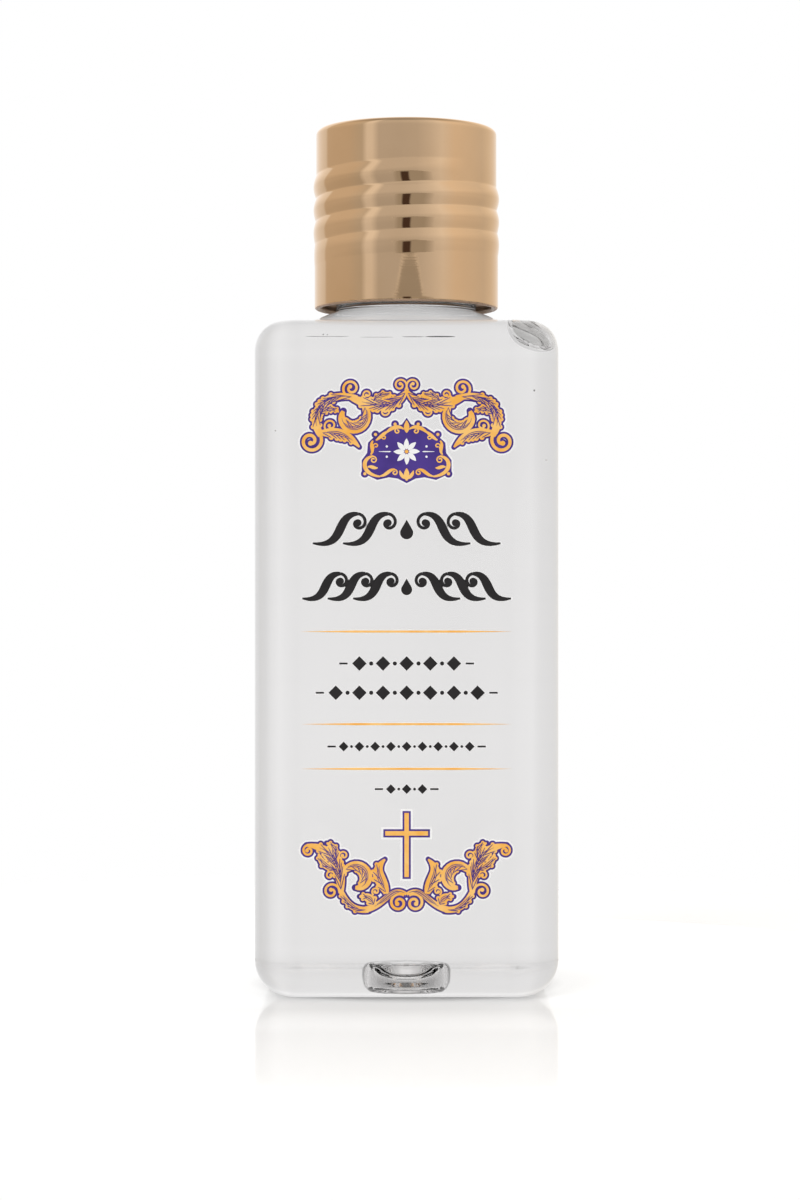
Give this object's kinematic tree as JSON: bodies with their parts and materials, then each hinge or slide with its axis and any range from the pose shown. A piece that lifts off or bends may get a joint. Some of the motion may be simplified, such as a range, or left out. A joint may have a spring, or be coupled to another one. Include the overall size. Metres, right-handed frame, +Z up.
{
  "type": "holy water bottle",
  "caption": "Small square clear bottle filled with water, with a tall gold screw cap on a threaded core, a sealing wad and pour plug, and a gold, purple and black printed front panel.",
  "frame": {"origin": "middle of the base, on the ground", "axes": "+Z up along the neck, printed front panel towards -Y, +X to the right as seen from the front"},
  "size_m": [0.045, 0.0451, 0.1308],
  "materials": {
    "clear_plastic": "gloss",
    "water": "polished",
    "natural_plastic": "satin",
    "white_foam": "matte",
    "white_plastic": "satin",
    "gold_metal": "polished",
    "gold_ink": "satin",
    "purple_ink": "satin",
    "black_ink": "satin"
  },
  "bodies": {
    "bottle": {"bottle_body": "clear_plastic", "water": "water", "pour_plug": "natural_plastic", "upper_scroll": "gold_ink", "plaque": "purple_ink", "wave_band": "black_ink", "gold_rules": "gold_ink", "row_marks": "black_ink", "cross": "gold_ink", "lower_scroll": "gold_ink"},
    "wad": {"cap_liner": "white_foam"},
    "cap": {"cap_core": "white_plastic", "cap_shell": "gold_metal"}
  },
  "joints": [
    {"name": "cap_lift", "type": "slide", "parent": "bottle", "child": "wad", "axis": [0, 0, 1], "range_m": [0, 0.0208]},
    {"name": "cap_turn", "type": "hinge", "parent": "wad", "child": "cap", "pos_m": [0, 0, 0.117], "axis": [0, 0, 1], "range_deg": [0, 2340]}
  ],
  "couplings": [
    {"joint": "cap_lift", "follows": "cap_turn", "m_per_rad": 0.00050532}
  ]
}
